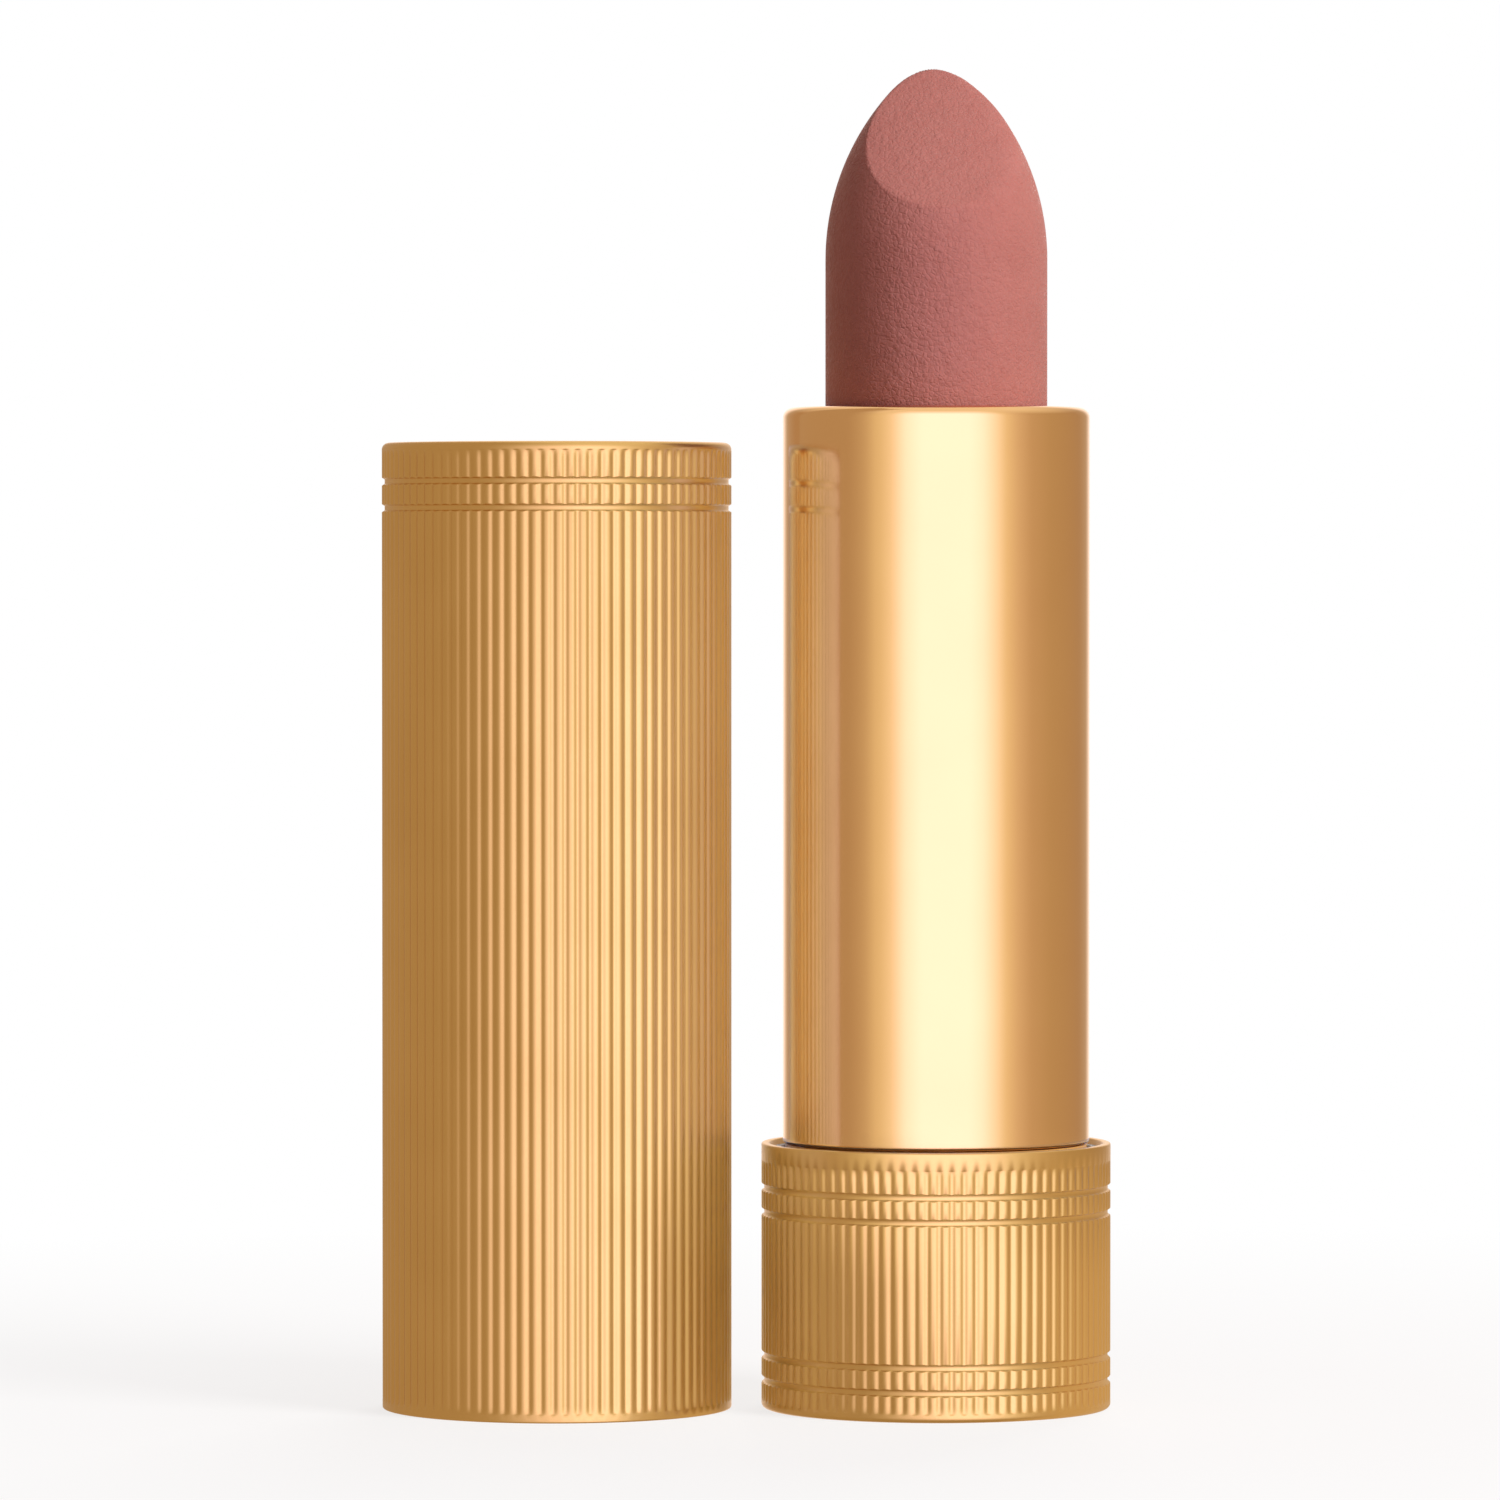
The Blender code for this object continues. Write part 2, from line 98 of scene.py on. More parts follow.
# Lipstick: an ogive with one slanted, slightly crowned facet.
OGIVE_RADIUS = 14.15 * MM
OGIVE_BELOW_TIP = 10.95 * MM
FACET_BELOW_TIP = 1.25 * MM
FACET_TILT = math.radians(49.0)
FACET_TURN = math.radians(4.0)
FACET_CROWN = 40.0
FACET_MIDDLE = 2.4 * MM
FACET_GATHER = 1.2
EDGE_CRUMB = 0.018 * MM
CRUMB_WAVES = (47, 83, 131)
CRUMB_PHASE = 1.7
# How far the edge is rounded, in mm, by degrees round from the front.
EDGE_SOFTNESS = (
    (-180, 0.22), (-120, 0.20), (-80, 0.12), (12, 0.12), (48, 0.95),
    (75, 1.0), (120, 0.36), (180, 0.22),
)
FOOT_BEVEL = 0.2 * MM
LIPSTICK_COLUMNS = 360
LIPSTICK_CREASE = 60
BISECTIONS = 50
OGIVE_ROWS = 44
EDGE_ROWS = 8
FACET_ROWS = 26

# Camera: far off, a little above the case's middle, looking slightly down.
CAMERA_DISTANCE = 510 * MM
CAMERA_HEIGHT = 48.6 * MM
AIM_HEIGHT = 37.3 * MM
CAMERA_SIDE = -10.55 * MM
FRAME_WIDTH_AT_CASE = 85.0 * MM
SENSOR_WIDTH = 36.0

# Floor: a disc that turns from its own shade to white between two distances.
FLOOR_RADIUS = 0.20
FLOOR_COLOUR = (0.90, 0.90, 0.90)
FLOOR_WHITE_FROM = 0.78
FLOOR_FADE = (0.03, 0.14)

# Studio: radiance by azimuth, from straight behind (-180) past the front (0) and back.
STUDIO_WALLS = (
    (-180, (1.35, 1.22, 1.20)),
    (-166, (1.20, 1.06, 1.00)),
    (-152, (0.53, 0.42, 0.31)),
    (-134, (0.47, 0.33, 0.21)),
    (-92, (0.49, 0.36, 0.24)),
    (-74, (0.61, 0.49, 0.38)),
    (-57, (0.70, 0.61, 0.47)),
    (-44, (0.85, 0.78, 0.62)),
    (-35, (1.02, 0.98, 0.92)),
    (-24, (1.55, 1.45, 1.90)),
    (-12, (1.80, 1.66, 2.35)),
    (24, (1.80, 1.66, 2.35)),
    (34, (1.65, 1.52, 2.05)),
    (44, (1.15, 1.20, 1.35)),
    (53, (0.92, 0.85, 0.70)),
    (63, (0.75, 0.64, 0.53)),
    (75, (0.61, 0.49, 0.37)),
    (95, (0.53, 0.42, 0.29)),
    (134, (0.47, 0.35, 0.24)),
    (152, (0.53, 0.42, 0.31)),
    (166, (1.20, 1.06, 1.00)),
    (180, (1.35, 1.22, 1.20)),
)
STUDIO_CEILING = (0.95, 0.90, 0.82)
STUDIO_GROUND = (0.45, 0.34, 0.22)
# Where, by the height of the direction, the walls turn into ceiling and ground.
CEILING_RISE = (0.35, 0.85)
GROUND_RISE = (-0.80, -0.25)
# Painted-reflection cards, glowing sheets seen only in the gold: node they stand round,
# distance from its axis, azimuths, heights, glow colour, and where along X the
# colour gives way to the studio behind.
CARDS = (
    ("cap_card", "cap_shell", 20 * MM, (-140, 22), (-30 * MM, 170 * MM),
     (0.50, 0.39, 0.28), (-11.5 * MM, 5.5 * MM)),
    ("base_card", "base_shell", 18 * MM, (-45, 10), (-30 * MM, 14.4 * MM),
     (0.46, 0.36, 0.26), (-11.0 * MM, 2.0 * MM)),
    ("side_card", "base_shell", 18 * MM, (62, 150), (-30 * MM, 14.4 * MM),
     (0.70, 0.56, 0.40), (30 * MM, 40 * MM)),
)
CARD_STEPS = 16
CARD_SOFT_EDGE = 7.0 * MM
# What a second and a third reflection meet, how far the second one follows the
# walls' colours, and what matte surfaces gather.
STUDIO_AGAIN = (0.60, 0.88, 2.05)
AGAIN_VARIES = 0.7
STUDIO_THRICE = (1.25, 2.80, 10.0)
STUDIO_AMBIENT = (0.26, 0.17, 0.15)

# Lights: azimuth and elevation in degrees, and power. Azimuth 0 is in front.
LIGHTS = (
    ("side_key", 50, 25, 8.0),
    ("back_fill", 168, 20, 5.0),
)
LIGHT_DISTANCE = 0.9
LIGHT_SIZE = 0.40

# Plastics: name, light and deep tone, roughness, grain scale and grain depth.
PLASTICS = (
    ("grey_plastic", (0.34, 0.34, 0.32), (0.28, 0.28, 0.27), 0.42, 5200.0, 0.006 * MM),
    ("natural_plastic", (0.76, 0.74, 0.70), (0.70, 0.68, 0.64), 0.40, 3600.0, 0.006 * MM),
    ("white_plastic", (0.82, 0.81, 0.78), (0.77, 0.76, 0.72), 0.38, 4200.0, 0.005 * MM),
    ("amber_plastic", (0.80, 0.42, 0.10), (0.72, 0.35, 0.08), 0.34, 3800.0, 0.005 * MM),
    ("silicone", (0.13, 0.13, 0.14), (0.09, 0.09, 0.10), 0.55, 6000.0, 0.004 * MM),
)


# ---------------------------------------------------------------- materials

def nodes_of(name):
    """A new material with one Principled shader; returns both and the tree."""
    material = bpy.data.materials.new(name)
    material.use_nodes = True
    tree = material.node_tree
    return material, tree, tree.nodes["Principled BSDF"]


def add(tree, kind, **values):
    """Add a node; values whose names match its sockets set them, others its fields."""
    node = tree.nodes.new(kind)
    for key, value in values.items():
        label = key.replace("_", " ")
        if label in node.inputs:
            node.inputs[label].default_value = value
        else:
            setattr(node, key, value)
    return node


def mapped(tree, scale):
    """Object coordinates, scaled separately along X, Y and Z."""
    place = tree.nodes.new("ShaderNodeTexCoord")
    mapping = tree.nodes.new("ShaderNodeMapping")
    mapping.inputs["Scale"].default_value = scale
    tree.links.new(place.outputs["Object"], mapping.inputs["Vector"])
    return mapping.outputs["Vector"]


def noise(tree, vector, scale, detail=3.0, roughness=0.55):
    """A noise texture's factor."""
    node = add(tree, "ShaderNodeTexNoise", Scale=scale, Detail=detail, Roughness=roughness)
    tree.links.new(vector, node.inputs["Vector"])
    return node.outputs[0]


def spread(tree, value, low, high, from_low=0.3, from_high=0.7):
    """Map a factor to a range of values."""
    node = tree.nodes.new("ShaderNodeMapRange")
    node.inputs["From Min"].default_value = from_low
    node.inputs["From Max"].default_value = from_high
    node.inputs["To Min"].default_value = low
    node.inputs["To Max"].default_value = high
    tree.links.new(value, node.inputs["Value"])
    return node.outputs["Result"]


def two_colours(tree, factor, first, second):
    """Mix two colours by a factor."""
    node = tree.nodes.new("ShaderNodeMix")
    node.data_type = "RGBA"
    node.inputs["A"].default_value = (*first, 1.0)
    node.inputs["B"].default_value = (*second, 1.0)
    tree.links.new(factor, node.inputs["Factor"])
    return node.outputs["Result"]


def toward_colour(tree, factor, first, colour):
    """Mix a linked colour towards a fixed one by a factor."""
    node = tree.nodes.new("ShaderNodeMix")
    node.data_type = "RGBA"
    node.inputs["B"].default_value = (*colour, 1.0)
    tree.links.new(factor, node.inputs["Factor"])
    tree.links.new(first, node.inputs["A"])
    return node.outputs["Result"]


def two_shaders(tree, factor, first, second):
    """Mix two shaders by a factor."""
    node = tree.nodes.new("ShaderNodeMixShader")
    for socket, value in zip(node.inputs, (factor, first, second)):
        tree.links.new(value, socket)
    return node.outputs[0]


def bump(tree, height, strength, distance, under=None):
    """A bump of the given height field, in metres, over an optional lower bump."""
    node = add(tree, "ShaderNodeBump", Strength=strength, Distance=distance)
    tree.links.new(height, node.inputs["Height"])
    if under:
        tree.links.new(under, node.inputs["Normal"])
    return node.outputs["Normal"]


def gold(name, light, deep, roughness, streaks):
    """Anodised aluminium: tone drifts slowly, and fine draw lines run upwards."""
    material, tree, shader = nodes_of(name)
    even = mapped(tree, (1.0, 1.0, 1.0))
    drawn = mapped(tree, (1.0, 1.0, 0.03))
    tone = noise(tree, even, 140.0, 2.0)
    lines = noise(tree, drawn, 5200.0, 2.0, 0.6)
    grain = noise(tree, even, 9000.0, 2.0)
    colour = two_colours(tree, spread(tree, tone, 0.0, 1.0), deep, light)
    tree.links.new(colour, shader.inputs["Base Color"])
    matt = spread(tree, grain, roughness - 0.03, roughness + 0.04)
    tree.links.new(matt, shader.inputs["Roughness"])
    fine = bump(tree, lines, streaks, 0.004 * MM)
    finish = bump(tree, grain, streaks, 0.002 * MM, fine)
    tree.links.new(finish, shader.inputs["Normal"])
    shader.inputs["Metallic"].default_value = 1.0
    return material


def plastic(name, light, deep, roughness, grain_scale, grain_depth):
    """Moulded plastic: faint flow tone and a fine spark-eroded texture."""
    material, tree, shader = nodes_of(name)
    even = mapped(tree, (1.0, 1.0, 1.0))
    flow = noise(tree, mapped(tree, (1.0, 1.0, 0.35)), 260.0, 2.0)
    grain = noise(tree, even, grain_scale, 3.0)
    colour = two_colours(tree, spread(tree, flow, 0.0, 1.0), deep, light)
    tree.links.new(colour, shader.inputs["Base Color"])
    matt = spread(tree, grain, roughness - 0.05, roughness + 0.06)
    tree.links.new(matt, shader.inputs["Roughness"])
    tree.links.new(bump(tree, grain, 0.4, grain_depth), shader.inputs["Normal"])
    return material


def plated_steel():
    """Zinc plate: pale spangle over fine turning marks."""
    material, tree, shader = nodes_of("zinc_plated_steel")
    even = mapped(tree, (1.0, 1.0, 1.0))
    cells = add(tree, "ShaderNodeTexVoronoi", Scale=900.0)
    tree.links.new(even, cells.inputs["Vector"])
    grain = noise(tree, even, 4200.0, 3.0)
    spangle = two_colours(
        tree, cells.outputs["Distance"], (0.46, 0.47, 0.50), (0.66, 0.67, 0.69))
    tree.links.new(spangle, shader.inputs["Base Color"])
    matt = spread(tree, grain, 0.30, 0.46)
    tree.links.new(matt, shader.inputs["Roughness"])
    tree.links.new(bump(tree, grain, 0.4, 0.004 * MM), shader.inputs["Normal"])
    shader.inputs["Metallic"].default_value = 1.0
    return material


def label_paper():
    """Uncoated label stock: soft fibres in a warm white."""
    material, tree, shader = nodes_of("label_paper")
    fibre = noise(tree, mapped(tree, (1.0, 0.25, 1.0)), 2400.0, 4.0)
    cloud = noise(tree, mapped(tree, (1.0, 1.0, 1.0)), 320.0, 2.0)
    colour = two_colours(
        tree, spread(tree, cloud, 0.0, 1.0), (0.78, 0.76, 0.70), (0.86, 0.84, 0.80))
    tree.links.new(colour, shader.inputs["Base Color"])
    tree.links.new(spread(tree, fibre, 0.62, 0.78), shader.inputs["Roughness"])
    tree.links.new(bump(tree, fibre, 0.5, 0.01 * MM), shader.inputs["Normal"])
    return material


def lipstick_wax():
    """Matte pigmented wax: leathery cells, powder, tiny pits and faint drag marks."""
    material, tree, shader = nodes_of("rose_lipstick")
    even = mapped(tree, (1.0, 1.0, 1.0))
    cloud = noise(tree, even, 260.0, 3.0)
    powder = noise(tree, even, 3600.0, 3.0, 0.65)
    pits = noise(tree, even, 2100.0, 2.0, 0.5)
    drag = noise(tree, mapped(tree, (1.0, 1.0, 0.12)), 1500.0, 2.0, 0.5)
    base = two_colours(
        tree, spread(tree, cloud, 0.0, 1.0), (0.478, 0.174, 0.150), (0.520, 0.197, 0.172))
    speck = tree.nodes.new("ShaderNodeMix")
    speck.data_type = "RGBA"
    speck.blend_type = "MULTIPLY"
    speck.inputs["B"].default_value = (0.80, 0.72, 0.70, 1.0)
    tree.links.new(spread(tree, powder, 0.0, 0.55, 0.50, 0.80), speck.inputs["Factor"])
    tree.links.new(base, speck.inputs["A"])
    tree.links.new(speck.outputs["Result"], shader.inputs["Base Color"])
    tree.links.new(spread(tree, powder, 0.50, 0.66), shader.inputs["Roughness"])
    cells = add(tree, "ShaderNodeTexVoronoi", Scale=3600.0)
    cells.feature = "DISTANCE_TO_EDGE"
    tree.links.new(even, cells.inputs["Vector"])
    leather = spread(tree, cells.outputs["Distance"], 0.0, 1.0, 0.0, 0.22)
    grained = bump(tree, leather, 0.55, 0.030 * MM)
    pocked = spread(tree, pits, 0.0, 1.0, 0.42, 0.62)
    pitted = bump(tree, pocked, 0.6, 0.030 * MM, grained)
    scored = spread(tree, drag, 0.0, 1.0, 0.60, 0.75)
    dragged = bump(tree, scored, 0.45, 0.020 * MM, pitted)
    tree.links.new(dragged, shader.inputs["Normal"])
    shader.inputs["Subsurface Weight"].default_value = 0.12
    shader.inputs["Subsurface Radius"].default_value = (1.0, 0.35, 0.25)
    shader.inputs["Subsurface Scale"].default_value = 0.6 * MM
    shader.inputs["Sheen Weight"].default_value = 0.04
    shader.inputs["Sheen Roughness"].default_value = 0.5
    return material


# ------------------------------------------------------------------- meshes

Turned = namedtuple("Turned", "axis_x radius foot top")


def axis_of(node):
    """A turned node's axis X, its radius, and its lowest and highest point."""
    low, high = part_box(node)
    return Turned((low.x + high.x) / 2, (high.x - low.x) / 2, low.z, high.z)


def lathe(name, rings, turns, material, body, node, axis_x, crease=35):
    """Join rings of points into one closed piece that stands for a CAD node.

    A ring is a height, which is a point on the axis, a (radius, height) pair, or a
    list of (fraction of the turn, radius, height). Turns are the pairs' fractions.
    """
    bm = bmesh.new()
    loops = []
    for ring in rings:
        if isinstance(ring, float):
            loops.append([bm.verts.new((0.0, 0.0, ring))])
            continue
        if isinstance(ring, tuple):
            ring = [(turn, *ring) for turn in turns]
        loop = []
        for turn, radius, height in ring:
            angle = 2 * math.pi * turn
            loop.append(bm.verts.new(
                (radius * math.cos(angle), radius * math.sin(angle), height)))
        loops.append(loop)
    samples = len(turns)
    closed = len(loops[0]) > 1
    pairs = list(zip(loops, loops[1:]))
    if closed:
        pairs.append((loops[-1], loops[0]))
    for below, above in pairs:
        for index in range(samples):
            after = (index + 1) % samples
            if len(below) == 1:
                bm.faces.new((below[0], above[after], above[index]))
            elif len(above) == 1:
                bm.faces.new((below[index], below[after], above[0]))
            else:
                bm.faces.new((below[index], below[after], above[after], above[index]))
    bmesh.ops.recalc_face_normals(bm, faces=bm.faces)
    finished(name, bm, material, body, node, axis_x, crease)


def finished(name, bm, material, body, node, axis_x, crease):
    """Turn a bmesh into a smooth-shaded piece that rides and replaces its node."""
    mesh = bpy.data.meshes.new(name)
    bm.to_mesh(mesh)
    bm.free()
    mesh.materials.append(material)
    mesh.shade_smooth()
    mesh.set_sharp_from_angle(angle=math.radians(crease))
    piece = bpy.data.objects.new(name, mesh)
    piece.location.x = axis_x
    bpy.context.scene.collection.objects.link(piece)
    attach(piece, body)
    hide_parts(node)


def even_turns(count):
    """Fractions of the turn, evenly spread."""
    return [index / count for index in range(count)]


def round_rings(centre_radius, centre_height, radius, arc, steps):
    """Plain rings along a round; the arc is in degrees from the radial direction."""
    start, end = arc
    rings = []
    for step in range(steps + 1):
        angle = math.radians(start + (end - start) * step / steps)
        across = centre_radius + radius * math.cos(angle)
        rings.append((across, centre_height + radius * math.sin(angle)))
    return rings


def rib_depth(share):
    """Depth at a share of the way from a rib's crest to the valley beside it."""
    return FLUTE_DEPTH * (1.0 - math.cos(math.pi * share ** FLUTE_POWER)) / 2


def rib_turns():
    """Fractions of the turn to sample, rib by rib, with the depth at each."""
    half = list(RIB_SAMPLES)
    whole = [-share for share in reversed(half[1:])] + half + [1.0]
    depths = [rib_depth(abs(share)) for share in whole]
    return [
        ((rib + share / 2) / FLUTE_COUNT, depth)
        for rib in range(FLUTE_COUNT) for share, depth in zip(whole, depths)
    ]


FLUTES = rib_turns()
FLUTE_TURNS = [turn for turn, depth in FLUTES]


def groove_at(height, grooves):
    """Depth of the nearest rolled groove at a height: flat bottom, steep soft sides."""
    nearest = min(abs(height - centre) for centre in grooves)
    share = (GROOVE_HALF - nearest) / (GROOVE_HALF - GROOVE_FLAT)
    share = max(0.0, min(1.0, share))
    return GROOVE_DEPTH * share * share * (3 - 2 * share)


def fluted_ring(radius, height, bottom, top, grooves):
    """A ring of the fluted wall between the heights where the flutes run out."""
    inside = min(height - bottom, top - height)
    share = max(0.0, min(1.0, inside / FLUTE_RUNOUT))
    fade = math.sqrt(1.0 - (1.0 - share) ** 2)
    rolled = groove_at(height, grooves)
    return [(turn, radius - max(depth * fade, rolled), height) for turn, depth in FLUTES]


def fluted_heights(bottom, top, grooves):
    """Heights that resolve the run-outs and the grooves, and nothing more."""
    heights = set()
    for step in range(RUNOUT_STEPS + 1):
        share = (step / RUNOUT_STEPS) ** RUNOUT_GATHER
        heights.add(bottom + FLUTE_RUNOUT * share)
        heights.add(top - FLUTE_RUNOUT * share)
    for centre in grooves:
        for share in GROOVE_STEPS:
            away = GROOVE_FLAT + (GROOVE_HALF - GROOVE_FLAT) * share
            heights.update((centre - away, centre + away))
    return sorted(height for height in heights if bottom <= height <= top)


def fluted_wall(radius, bottom, top, grooves):
    """All rings of a fluted wall, from bottom to top."""
    return [
        fluted_ring(radius, height, bottom, top, grooves)
        for height in fluted_heights(bottom, top, grooves)
    ]


def cap_shell(material):
    """The fluted cap: open below, closed flat above."""
    axis_x, radius, foot, top = axis_of("cap_shell")
    bore = radius - SHELL_WALL
    ceiling = axis_of("cap_weight").top + FIT_GAP
    grooves = [top - drop for drop in CAP_GROOVES]
    rings = [ceiling, (bore, ceiling), (bore, foot + RIM_ROUND)]
    rings += [(bore + RIM_ROUND, foot)]
    rings += round_rings(radius - RIM_ROUND, foot + RIM_ROUND, RIM_ROUND, OUTER_FOOT, 4)
    rings += fluted_wall(radius, foot + SMOOTH_BAND, top - SMOOTH_BAND, grooves)
    corner = radius - CAP_TOP_ROUND
    rings += round_rings(corner, top - CAP_TOP_ROUND, CAP_TOP_ROUND, OUTER_TOP, 10)
    rings += [(corner * 0.5, top), top]
    lathe("fluted_cap_shell", rings, FLUTE_TURNS, material,
          "cap", "cap_shell", axis_x, SHELL_CREASE)


def base_shell(material):
    """The fluted base: open above, with a recess for the label below."""
    axis_x, radius, foot, top = axis_of("base_shell")
    bore = radius - SHELL_WALL
    recess = axis_of("base_label").radius + BORE_GAP
    recess_top = axis_of("base_label").top + FIT_GAP
    grooves = [foot + rise for rise in BASE_FOOT_GROOVES]
    grooves += [top - drop for drop in BASE_TOP_GROOVES]
    rings = [recess_top, (recess, recess_top), (recess, foot)]
    rings += round_rings(
        radius - FOOT_ROUND, foot + FOOT_ROUND, FOOT_ROUND, OUTER_FOOT, 8)
    rings += fluted_wall(radius, foot + SMOOTH_BAND, top - RIM_BAND, grooves)
    rings += round_rings(radius - RIM_ROUND, top - RIM_ROUND, RIM_ROUND, OUTER_TOP, 5)
    rings += [(bore + RIM_ROUND / 2, top), (bore, top - RIM_ROUND / 2)]
    rings += [(bore, foot + SHELL_FLOOR), foot + SHELL_FLOOR]
    lathe("fluted_base_shell", rings, FLUTE_TURNS, material,
          "base", "base_shell", axis_x, SHELL_CREASE)


def sleeve(material):
    """The polished sleeve, with a round shoulder turned in to its mouth."""
    axis_x, radius, hem, top = axis_of("outer_sleeve")
    bore = radius - SLEEVE_WALL
    mouth = axis_of("lipstick_bullet").radius + MOUTH_GAP
    rings = [(bore, hem + HEM_ROUND / 2), (bore + HEM_ROUND / 2, hem)]
    rings += round_rings(radius - HEM_ROUND, hem + HEM_ROUND, HEM_ROUND, OUTER_FOOT, 6)
    rings += [(radius, hem + (top - hem) * share) for share in SLEEVE_BANDS]
    rings += round_rings(
        radius - SHOULDER_ROUND, top - SHOULDER_ROUND, SHOULDER_ROUND, OUTER_TOP, 14)
    rings += round_rings(mouth + LIP_ROUND, top - LIP_ROUND, LIP_ROUND, INNER_TOP, 5)
    rings += [(mouth, top - SLEEVE_WALL), (bore, top - SLEEVE_WALL)]
    lathe("polished_sleeve", rings, even_turns(SLEEVE_COLUMNS), material,
          "sleeve", "outer_sleeve", axis_x)


def grey_insert(material):
    """The base's insert: a thin wall with a softly rounded rim, on a bossed floor."""
    axis_x, radius, foot, top = axis_of("base_liner")
    bore = axis_of("guide_tube").radius + BORE_GAP
    floor_foot = axis_of("base_weight").top + FIT_GAP
    seat = axis_of("guide_tube").foot - FIT_GAP
    edge = INSERT_ROUND
    rings = [foot, (BOSS_RADIUS - edge, foot), (BOSS_RADIUS, foot + edge)]
    rings += [(BOSS_RADIUS, floor_foot), (radius, floor_foot)]
    rings += round_rings(radius - edge, top - edge, edge, OUTER_TOP, 5)
    rings += round_rings(bore + edge, top - edge, edge, INNER_TOP, 5)
    rings += [(bore, seat), seat]
    lathe("base_insert", rings, even_turns(INSERT_COLUMNS), material,
          "base", "base_liner", axis_x)


def ogive_radius(height, radius, start):
    """The lipstick's radius above its straight part."""
    rise = max(0.0, height - start)
    return radius - OGIVE_RADIUS + math.sqrt(OGIVE_RADIUS ** 2 - rise ** 2)


def facet_height(x, y, crossing):
    """Height of the slanted, slightly crowned facet over a point."""
    side = x * math.cos(FACET_TURN) + y * math.sin(FACET_TURN)
    back = y * math.cos(FACET_TURN) - x * math.sin(FACET_TURN)
    return crossing + math.tan(FACET_TILT) * back - FACET_CROWN * side ** 2


def facet_edge(angle, radius, start, crossing):
    """Height where the ogive meets the facet on one meridian."""
    low = start - radius
    high = start + math.sqrt(OGIVE_RADIUS ** 2 - (OGIVE_RADIUS - radius) ** 2)
    for _ in range(BISECTIONS):
        middle = (low + high) / 2
        reach = ogive_radius(middle, radius, start)
        over = facet_height(reach * math.cos(angle), reach * math.sin(angle), crossing)
        if middle < over:
            low = middle
        else:
            high = middle
    return low


def edge_softness(angle):
    """How far the facet's edge is rounded: crisp at left and below, faded at right."""
    turn = (math.degrees(angle) + 90) % 360
    turn = turn - 360 if turn > 180 else turn
    for (first, low), (last, high) in zip(EDGE_SOFTNESS, EDGE_SOFTNESS[1:]):
        if turn <= last:
            share = (turn - first) / (last - first)
            return (low + (high - low) * share) * MM
    return high * MM


def lipstick(material):
    """The moulded lipstick: a round ogive flattened on one slant.

    Every meridian runs up the ogive, round the facet's edge and to the facet's middle.
    """
    axis_x, radius, foot, tip = axis_of("lipstick_bullet")
    start = tip - OGIVE_BELOW_TIP
    crossing = tip - FACET_BELOW_TIP
    middle = Vector((0.0, -FACET_MIDDLE, 0.0))
    lines = []
    for index in range(LIPSTICK_COLUMNS):
        angle = 2 * math.pi * index / LIPSTICK_COLUMNS
        outward = Vector((math.cos(angle), math.sin(angle), 0.0))
        crumb = sum(
            math.sin(waves * angle + CRUMB_PHASE * waves) for waves in CRUMB_WAVES)
        edge = facet_edge(angle, radius, start, crossing) + EDGE_CRUMB * crumb
        soft = edge_softness(angle)
        reach = ogive_radius(edge, radius, start)
        corner = outward * reach + Vector((0.0, 0.0, edge))
        below = edge - soft
        line = [outward * (radius - FOOT_BEVEL) + Vector((0.0, 0.0, foot))]
        line.append(outward * radius + Vector((0.0, 0.0, foot + FOOT_BEVEL)))
        for step in range(OGIVE_ROWS + 1):
            height = start + (below - start) * step / OGIVE_ROWS
            line.append(outward * ogive_radius(height, radius, start)
                        + Vector((0.0, 0.0, height)))
        from_side = line[-1]
        across = middle - outward * reach
        inset = soft / across.length
        flat = []
        for step in range(FACET_ROWS):
            share = inset + (1 - inset) * (step / FACET_ROWS) ** FACET_GATHER
            place = outward * reach + across * share
            place.z = facet_height(place.x, place.y, crossing)
            flat.append(place)
        for step in range(1, EDGE_ROWS):
            share = step / EDGE_ROWS
            line.append(from_side * (1 - share) ** 2
                        + corner * 2 * share * (1 - share) + flat[0] * share ** 2)
        lines.append(line + flat)
    bm = bmesh.new()
    grid = [[bm.verts.new(point) for point in line] for line in lines]
    centre = bm.verts.new((middle.x, middle.y, facet_height(middle.x, middle.y, crossing)))
    bottom = bm.verts.new((0.0, 0.0, foot))
    for line, after in zip(grid, grid[1:] + grid[:1]):
        for row in range(len(line) - 1):
            bm.faces.new((line[row], after[row], after[row + 1], line[row + 1]))
        bm.faces.new((line[-1], after[-1], centre))
        bm.faces.new((after[0], line[0], bottom))
    bmesh.ops.recalc_face_normals(bm, faces=bm.faces)
    finished("rose_lipstick", bm, material, "carrier",
             "lipstick_bullet", axis_x, LIPSTICK_CREASE)


# -------------------------------------------------------------------- stage

def camera():
    """A long lens in front of the case and its cap."""
    data = bpy.data.cameras.new("camera")
    data.sensor_width = SENSOR_WIDTH
    data.lens = SENSOR_WIDTH * CAMERA_DISTANCE / FRAME_WIDTH_AT_CASE
    data.clip_start = 0.01
    data.clip_end = 20.0
    shot = bpy.data.objects.new("camera", data)
    shot.location = (CAMERA_SIDE, -CAMERA_DISTANCE, CAMERA_HEIGHT)
    aim = Vector((CAMERA_SIDE, 0.0, AIM_HEIGHT)) - shot.location
    shot.rotation_euler = aim.to_track_quat("-Z", "Y").to_euler()
    bpy.context.scene.collection.objects.link(shot)
    bpy.context.scene.camera = shot


